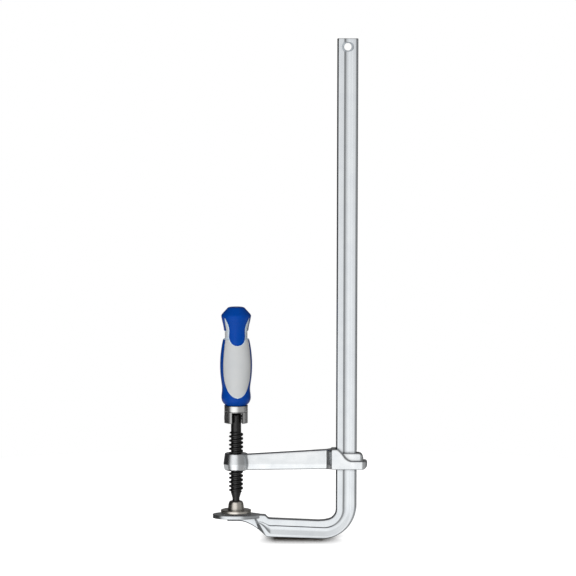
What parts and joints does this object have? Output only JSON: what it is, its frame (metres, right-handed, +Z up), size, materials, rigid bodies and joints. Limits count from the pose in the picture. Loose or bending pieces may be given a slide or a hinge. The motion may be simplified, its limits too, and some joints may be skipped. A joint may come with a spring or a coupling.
{
  "type": "bar clamp",
  "caption": "Forged steel bar clamp: grooved rail bent into an oval anvil, sliding arm, trapezoidal screw, swivel pad and a folding two-colour handle.",
  "frame": {"origin": "centre of the clamp's width and depth, at the lowest point of its bend", "axes": "+Z up along the rail, +X from the screw to the rail, +Y away from the viewer, through the clamp's thickness"},
  "size_m": [0.1856, 0.0384, 0.6],
  "materials": {
    "plated_rail": "satin zinc or nickel plating",
    "plated_arm": "satin plating over a forged face",
    "black_spindle": "black oxide, lightly oiled",
    "seat_plastic": "moulded",
    "pad_steel": "warm plated, turned",
    "fork_steel": "bright plated",
    "pin_steel": "plated",
    "spring_steel": "drawn wire",
    "handle_plastic": "moulded, satin",
    "grip_rubber": "over-moulded, matt"
  },
  "bodies": {
    "rail": {"fixed_rail": "plated_rail"},
    "arm": {"sliding_arm": "plated_arm"},
    "seat": {"ball_seat": "seat_plastic"},
    "screw": {"spindle": "black_spindle"},
    "pad": {"swivel_pad": "pad_steel"},
    "handle": {"handle_fork": "fork_steel", "pivot_pin": "pin_steel", "detent_plunger": "pin_steel", "detent_spring": "spring_steel", "handle_core": "handle_plastic", "handle_grip": "grip_rubber"}
  },
  "joints": [
    {"name": "arm_slide", "type": "slide", "parent": "rail", "child": "arm", "axis": [0, 0, 1], "range_m": [0, 0.475]},
    {"name": "screw_travel", "type": "slide", "parent": "arm", "child": "seat", "axis": [0, 0, 1], "range_m": [0, 0.0325]},
    {"name": "spindle_turn", "type": "hinge", "parent": "seat", "child": "screw", "pos_m": [-0.0648, 0, 0.0396], "axis": [0, 0, 1], "range_deg": [0, 2340]},
    {"name": "pad_tilt", "type": "hinge", "parent": "seat", "child": "pad", "pos_m": [-0.0648, 0, 0.0396], "axis": [0, 1, 0], "range_deg": [-6, 6]},
    {"name": "handle_fold", "type": "hinge", "parent": "screw", "child": "handle", "pos_m": [-0.0648, 0, 0.1463], "axis": [0.9925, 0.1219, 0], "range_deg": [-90, 90]}
  ],
  "couplings": [
    {"joint": "screw_travel", "follows": "spindle_turn", "m_per_rad": 0.00079577}
  ]
}
